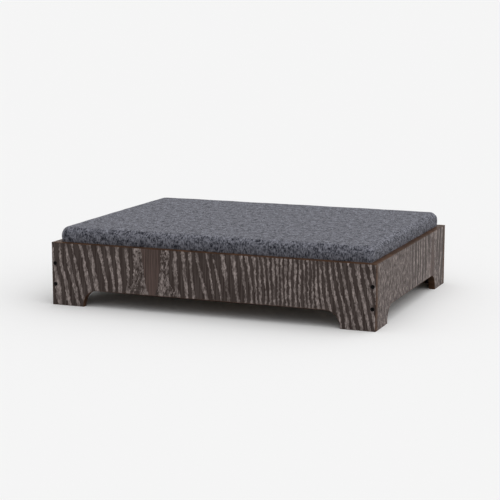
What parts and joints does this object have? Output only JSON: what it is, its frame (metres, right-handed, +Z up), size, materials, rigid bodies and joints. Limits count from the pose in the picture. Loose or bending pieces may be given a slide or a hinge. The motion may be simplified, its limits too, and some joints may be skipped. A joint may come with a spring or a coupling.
{
  "type": "dog bed with frame",
  "caption": "Low rectangular dog bed: wood-look panel frame on arched feet, edge banded and screwed at the corners, with base boards and a lift-out foam mattress in a zipped cloth cover.",
  "frame": {"origin": "on the floor, at the centre of the frame's footprint", "axes": "+X along the long panels to the right seen from the front, +Y from the front panel to the back panel, +Z up"},
  "size_m": [0.8, 0.6, 0.1819],
  "materials": {
    "laminate": "matte",
    "edge_band": "matte",
    "black_screw": "satin",
    "cleat_timber": "matte",
    "zinc_screw": "satin",
    "base_board": "matte",
    "foam": "matte",
    "cover_cloth": "matte",
    "base_cloth": "matte",
    "zip_tape": "matte",
    "zip_teeth": "satin",
    "zip_metal": "satin"
  },
  "bodies": {
    "frame": {"front_panel": "laminate", "back_panel": "laminate", "left_end_panel": "laminate", "right_end_panel": "laminate", "front_rim_band": "edge_band", "back_rim_band": "edge_band", "left_rim_band": "edge_band", "right_rim_band": "edge_band", "front_end_bands": "edge_band", "back_end_bands": "edge_band", "front_arch_band": "edge_band", "back_arch_band": "edge_band", "left_arch_band": "edge_band", "right_arch_band": "edge_band", "front_foot_bands": "edge_band", "back_foot_bands": "edge_band", "left_foot_bands": "edge_band", "right_foot_bands": "edge_band", "front_corner_screws": "black_screw", "back_corner_screws": "black_screw", "front_cleat": "cleat_timber", "back_cleat": "cleat_timber", "left_cleat": "cleat_timber", "right_cleat": "cleat_timber", "centre_rail": "cleat_timber", "cleat_screws": "zinc_screw", "rail_screws": "zinc_screw", "base_board_screws": "zinc_screw", "left_base_board": "base_board", "right_base_board": "base_board"},
    "mattress": {"mattress_foam": "foam", "mattress_cover": "cover_cloth", "mattress_base_cloth": "base_cloth", "zipper_tapes": "zip_tape", "zipper_teeth": "zip_teeth", "zipper_stops": "zip_metal"},
    "zipper_slider": {"zipper_slider": "zip_metal"}
  },
  "joints": [
    {"name": "mattress_lift", "type": "slide", "parent": "frame", "child": "mattress", "axis": [0, 0, 1], "range_m": [0, 0.15]},
    {"name": "zipper_slide", "type": "slide", "parent": "mattress", "child": "zipper_slider", "axis": [-1, 0, 0], "range_m": [0, 0.56]}
  ]
}
